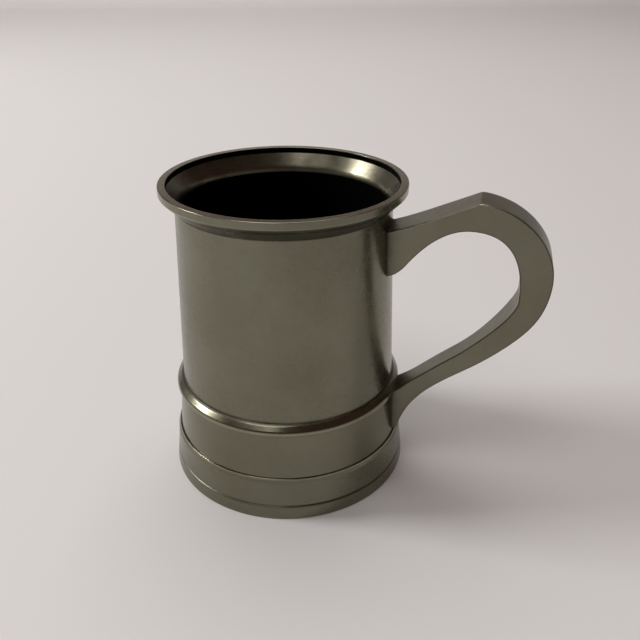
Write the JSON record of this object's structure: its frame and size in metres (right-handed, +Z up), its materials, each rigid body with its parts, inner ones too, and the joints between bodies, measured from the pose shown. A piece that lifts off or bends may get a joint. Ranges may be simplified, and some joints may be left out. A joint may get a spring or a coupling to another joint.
{
  "type": "tankard",
  "caption": "Lidless drinking tankard: tapering drum, flared mouth ring, waist bead, stepped hollow foot and a flat slab handle with a pointed thumb rest.",
  "frame": {"origin": "on the surface the foot stands on, under the middle of the whole object's outline", "axes": "+Z up through the mouth, +X from the drum towards the handle, +Y across the handle"},
  "size_m": [0.1478, 0.098, 0.12],
  "materials": {
    "turned_pewter": "dark antique pewter, spun and turned, satin",
    "cast_pewter": "dark antique pewter, cast and linished, satin",
    "base_pewter": "dull spun pewter, under the foot and in the cup",
    "solder": "dull pewter solder"
  },
  "bodies": {
    "root": {"lip_ring": "turned_pewter", "drum": "turned_pewter", "waist_bead": "turned_pewter", "skirt": "turned_pewter", "foot_ring": "turned_pewter", "base_plate": "base_pewter", "handle": "cast_pewter", "upper_handle_solder": "solder", "lower_handle_solder": "solder"}
  },
  "joints": []
}
